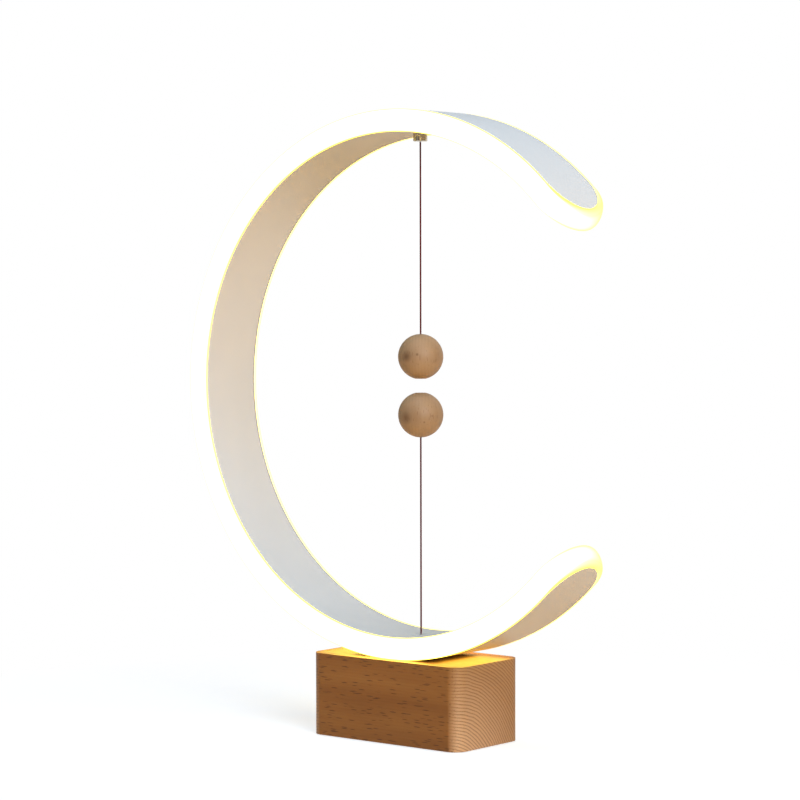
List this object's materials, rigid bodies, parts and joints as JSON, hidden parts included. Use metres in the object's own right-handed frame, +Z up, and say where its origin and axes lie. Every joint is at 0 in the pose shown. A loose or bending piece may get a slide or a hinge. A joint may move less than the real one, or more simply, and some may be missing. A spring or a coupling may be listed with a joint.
{
  "type": "table lamp",
  "caption": "Table lamp with a glowing C-shaped ribbon on a wooden block, and two wooden balls on strings that attract across a gap and work the switch.",
  "frame": {"origin": "centre of the underside, on the surface that the lamp stands on", "axes": "+Z up; the C lies in the XZ plane and opens towards +X; the front faces -Y and the inlet is at the back, +Y"},
  "size_m": [0.3115, 0.0652, 0.3997],
  "materials": {
    "diffuser": "satin milky",
    "skin": "satin white paint",
    "frame": "as extruded",
    "strip": "white solder mask",
    "chips": "clear lens",
    "beech": "sanded and oiled",
    "ball_wood": "sanded and oiled",
    "string": "braided",
    "nickel": "nickel plate",
    "magnet": "nickel plate",
    "steel": "zinc plate",
    "brass_tube": "drawn",
    "dark_plastic": "fine grain",
    "light_plastic": "fine grain",
    "button": "smooth",
    "pad": "matt",
    "board": "solder mask",
    "board_parts": "moulded",
    "lead": "smooth"
  },
  "bodies": {
    "lamp": {"diffuser": "diffuser", "outer_skin": "skin", "inner_skin": "skin", "ring_core": "frame", "led_strip": "strip", "led_chips": "chips", "seat_block": "frame", "base_block": "beech", "base_cover": "dark_plastic", "base_pad": "pad", "cover_screws": "steel", "board_screws": "steel", "guide_screws": "steel", "ring_screws": "steel", "holder_screw": "steel", "cord_holder": "nickel", "cord_guide": "brass_tube", "switch_guide": "light_plastic", "return_spring": "steel", "switch_housing": "dark_plastic", "lever_pin": "steel", "control_board": "board", "board_parts": "board_parts", "power_socket": "dark_plastic", "ring_lead": "lead"},
    "upper_end": {"upper_knot": "string"},
    "upper_bob": {"upper_cord": "string", "upper_ball": "ball_wood", "upper_magnet": "magnet", "upper_plug": "ball_wood", "upper_ball_knot": "string"},
    "plunger": {"pull_plunger": "light_plastic"},
    "pull_line": {"pull_cord": "string", "pull_knot": "string"},
    "lower_line": {"lower_cord": "string"},
    "lower_bob": {"lower_ball": "ball_wood", "lower_magnet": "magnet", "lower_plug": "ball_wood", "lower_ball_knot": "string"},
    "lever": {"switch_lever": "steel"},
    "button": {"switch_button": "button"}
  },
  "joints": [
    {"name": "upper_twist", "type": "hinge", "parent": "lamp", "child": "upper_end", "pos_m": [0.0052, 0, 0.38021], "axis": [0, 0, 1], "continuous": true},
    {"name": "upper_swing", "type": "hinge", "parent": "upper_end", "child": "upper_bob", "pos_m": [0.0052, 0, 0.38021], "axis": [0, 1, 0], "range_deg": [-40, 40]},
    {"name": "switch_pull", "type": "slide", "parent": "lamp", "child": "plunger", "axis": [0, 0, 1], "range_m": [-0.002, 0], "deforming": ["return_spring"]},
    {"name": "lower_twist", "type": "hinge", "parent": "plunger", "child": "pull_line", "pos_m": [0.0052, 0, 0.06678], "axis": [0, 0, 1], "continuous": true},
    {"name": "lower_swing", "type": "hinge", "parent": "pull_line", "child": "lower_line", "pos_m": [0.0052, 0, 0.06678], "axis": [0, 1, 0], "range_deg": [-12, 12]},
    {"name": "lower_drop", "type": "slide", "parent": "lower_line", "child": "lower_bob", "axis": [0, 0, 1], "range_m": [-0.1226, 0], "deforming": ["lower_cord"]},
    {"name": "lever_tilt", "type": "hinge", "parent": "lamp", "child": "lever", "pos_m": [-0.0095, 0, 0.0183], "axis": [0, 1, 0], "range_deg": [0, 7.9]},
    {"name": "button_press", "type": "slide", "parent": "lamp", "child": "button", "axis": [0, 0, 1], "range_m": [-0.0009, 0]}
  ],
  "couplings": [
    {"joint": "lever_tilt", "follows": "switch_pull", "rad_per_m": -68},
    {"joint": "button_press", "follows": "switch_pull", "ratio": 0.442}
  ]
}
